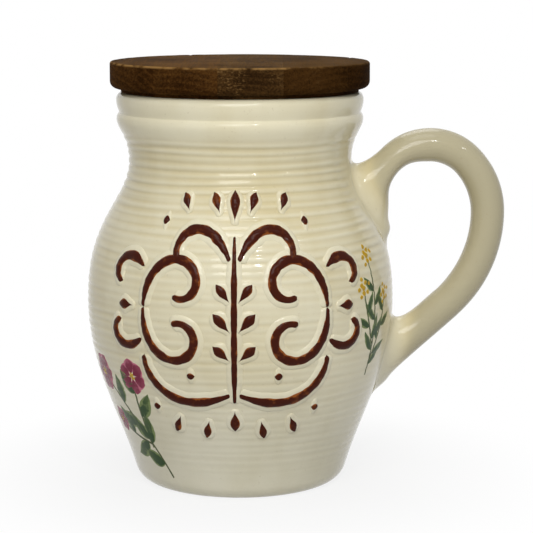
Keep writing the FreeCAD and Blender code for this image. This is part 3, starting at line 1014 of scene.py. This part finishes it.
def stained_wood(name, pieces, heart, dark, light, flecks, wear_and_sheen, rubbed=None):
    """Stained wood round its own heart; rubbed says where along x the edge is bare and where it isn't."""
    start, place = new_finish(name)
    x, y, z = (start.node("ShaderNodeSeparateXYZ", None, {0: place}, axis) for axis in "XYZ")
    drift = noise(place, 18, 2, (1, 0.25, 1))
    out = ((x - heart[0]) ** 2 + (z - heart[1]) ** 2) ** 0.5 + (drift - 0.5) * YEARS_DRIFT
    years = out.sum("SINE", out * (2 * math.pi / YEAR_WIDTH)) * 0.5 + 0.5
    fibres = noise(place, 900, 4, (1, 0.035, 1), 0.65)
    pores = ramp(noise(place, 1500, 2, (1, 0.03, 1)), 0.60, 0.70)
    stain = noise(place, 26, 4)
    grain = years ** 2 * 0.16 + ramp(fibres, 0.35, 0.7) * 0.34 + ramp(stain, 0.32, 0.72) * 0.55
    colour = mixed(ramp(grain, 0.05, 1.0), dark, light)
    colour = mixed(pores * 0.6, colour, PORE)
    specks = ramp(noise(place, 800, 4, (0.7, 1, 1.5)), 0.50, 0.72) * ramp(noise(place, 85, 3), 0.40, 0.62)
    colour = mixed(specks * flecks, colour, FLECK)
    # handling wear and painted sheen: the top face is painted paler
    top = ramp(z, LID_TOP - HANDLED_AND_SHEEN_DOWN[0], LID_TOP - HANDLED_AND_SHEEN_DOWN[1])
    handled_and_sheen = top * (0.12 + 0.22 * ramp(stain, 0.3, 0.7)) * wear_and_sheen
    colour = mixed(handled_and_sheen, colour, RUBBED_TOP_AND_SHEEN)
    reach = (x * x + y * y) ** 0.5
    edge = ramp(reach, LID_RADIUS - RUB_IN[0], LID_RADIUS - RUB_IN[1])
    arris = edge * ramp(z, LID_TOP - RUB_DOWN[0], LID_TOP - RUB_DOWN[1])
    rub = arris * ramp(noise(place, 150, 4), 0.38, 0.62) * wear_and_sheen
    if rubbed:
        rub = rub * (0.15 + 0.85 * ramp(x, *rubbed))
    colour = mixed(rub, colour, RUBBED_EDGE)
    coat(start, pieces, {
        "Base Color": colour,
        "Roughness": WOOD_ROUGHNESS + fibres * 0.24 - rub * 0.1,
        "Specular IOR Level": WOOD_SPECULAR,
        "IOR": WOOD_IOR,
        "Normal": bumped(fibres + pores * -0.6 + specks * flecks * 1.2, GRAIN_DEPTH, GRAIN_STRENGTH),
    })


# heart of the tree, dark and light stain, and share of flecks, for each stave
STAINS = (
    ((-0.080, 0.150), srgb(42, 23, 7), srgb(88, 57, 25), 0.10),
    ((-0.030, 0.140), srgb(45, 25, 8), srgb(94, 62, 27), 0.14),
    ((0.012, 0.285), srgb(38, 23, 9), srgb(84, 59, 30), 0.7),
    ((0.055, 0.130), srgb(32, 17, 5), srgb(68, 44, 18), 0.16),
    ((0.075, 0.270), srgb(30, 16, 5), srgb(62, 39, 15), 0.12),
)
# share of the rubbed edge and of the top's wear and painted sheen, and where along x the edge is rubbed
EDGE_WEAR_AND_SHEEN, EDGE_WEAR_FROM = 0.9, (0.050, 0.010)
for stave, stain in zip(staves, STAINS):
    stained_wood(f"stain_{stave.name}", [stave], *stain, EDGE_WEAR_AND_SHEEN, EDGE_WEAR_FROM)
lid_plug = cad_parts["lid_plug"]
stained_wood("plug_stain", [lid_plug], (0.02, 0.30), srgb(92, 62, 34), srgb(146, 108, 66), 0.1, 0.0)

# %% [markdown]
# ## Seal ring
# The ring round the plug is a soft, dull rubber, grey and slightly dusty. Its solid already has the
# right shape, so it keeps it and gets a finish only.

# %% Finish of the seal ring
start, place = new_finish("dull_rubber")
dust = noise(place, 150, 4)
coat(start, [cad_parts["seal_ring"]], {
    "Base Color": mixed(ramp(dust, 0.3, 0.75), srgb(178, 171, 155), srgb(192, 187, 174)),
    "Roughness": 0.6 + dust * 0.2,
    "Specular IOR Level": 0.3,
    "Normal": bumped(noise(place, 1400, 2), 0.00004, 0.5),
})

# %% [markdown]
# ## What rides on what
# The jug, its handle and everything laid on the glaze stay put. The staves go with the lid, which
# lifts and turns. The jug, the handle and the staves hide the solids that they replace.

# %% Bodies and replaced solids
for piece, node in ((thrown_jug, "jug_body"), (pulled_handle, "jug_handle")):
    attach(piece, "jug")
    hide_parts(node)
for piece in (trailed_scrolls, scroll_mound, painted_stems, painted_leaves, pink_petals, yellow_heads):
    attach(piece, "jug")
for number, stave in enumerate(staves, start=1):
    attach(stave, "lid")
    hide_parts(f"lid_stave_{number}")

# %% [markdown]
# ## Floor, light and camera
# The bin stands on a pale floor in soft light from the front, above and behind. Near the bin the
# floor is a pale surface that takes its shadow, and further out it goes over into the white of the
# background. The lamps are at a plain level, so colours come out about as they are written. The
# camera has a long lens, a little above the rim and looking slightly down.

# %% Floor and world
FLOOR_SIZE = 6.0
FLOOR_FADE = (0.05, 0.18)
FLOOR_GLOW = 0.84
FLOOR_GREY, WHITE = (0.7, 0.7, 0.7, 1), (1, 1, 1, 1)
ROOM_LIGHT = 0.22


def seen_white(start):
    """1 for rays that see the background, straight, mirrored or through a piece, and 0 for the rest."""
    kinds = ("Camera", "Glossy", "Transmission")
    straight, glossy, through = (start.node("ShaderNodeLightPath", output=f"Is {kind} Ray") for kind in kinds)
    return straight.sum("MAXIMUM", straight, straight.sum("MAXIMUM", glossy, through))


deselect()
bpy.ops.mesh.primitive_plane_add(size=FLOOR_SIZE)
floor = named("floor")
start, place = new_finish("floor_white")
away = start.node("ShaderNodeVectorMath", {"operation": "LENGTH"}, {0: place}, "Value")
cover = (FLOOR_GLOW + (1 - FLOOR_GLOW) * ramp(away, *FLOOR_FADE)) * seen_white(start)
matt = start.node("ShaderNodeBsdfDiffuse", None, {"Color": FLOOR_GREY})
glow = start.node("ShaderNodeEmission", None, {"Color": WHITE, "Strength": 1.0})
skin = start.node("ShaderNodeMixShader", None, {0: cover, 1: matt, 2: glow})
start.node("ShaderNodeOutputMaterial", None, {"Surface": skin})
floor.data.materials.append(bpy.data.materials["floor_white"])

world = bpy.data.worlds.new("studio")
world.use_nodes = True
world.node_tree.nodes.clear()
sky = Tone(world.node_tree)
seen = sky.node("ShaderNodeBackground", None, {"Color": WHITE, "Strength": 1.0})
room = sky.node("ShaderNodeBackground", None, {"Color": WHITE, "Strength": ROOM_LIGHT})
both = sky.node("ShaderNodeMixShader", None, {0: seen_white(sky), 1: room, 2: seen})
sky.node("ShaderNodeOutputWorld", None, {"Surface": both})
bpy.context.scene.world = world
print("floor and world are set")

# %% Lamps and camera
# name, place, size and power
LAMPS = (
    ("key", (-0.07, -0.68, 0.60), 0.42, 3.1),
    ("top", (0.0, -0.25, 1.30), 0.6, 1.7),
    ("spark", (0.20, -0.70, 0.70), 0.05, 1.2),
    ("back", (0.0, 0.75, 1.10), 0.70, 2.6),
    ("side_spark", (0.58, -0.42, 0.66), 0.05, 0.25),
)
LAMP_TARGET = Vector((0, 0, 0.11))
CAMERA_PLACE, CAMERA_TILT = (0.0133, -0.963, 0.264), 80.78
SENSOR, LENS = 36.0, 129.5
for name, spot, size, power in LAMPS:
    bpy.ops.object.light_add(type="AREA", location=spot)
    lamp = bpy.context.object
    lamp.name = name
    lamp.visible_camera = False
    lamp.data.shape, lamp.data.size, lamp.data.energy = "DISK", size, power
    lamp.rotation_euler = (LAMP_TARGET - Vector(spot)).to_track_quat("-Z", "Y").to_euler()

bpy.ops.object.camera_add(location=CAMERA_PLACE, rotation=(math.radians(CAMERA_TILT), 0, 0))
camera = bpy.context.object
camera.data.sensor_width, camera.data.lens = SENSOR, LENS
bpy.context.scene.camera = camera
bpy.context.scene.view_settings.view_transform = "Standard"
print("lamps:", [name for name, *_ in LAMPS], "lens:", camera.data.lens)
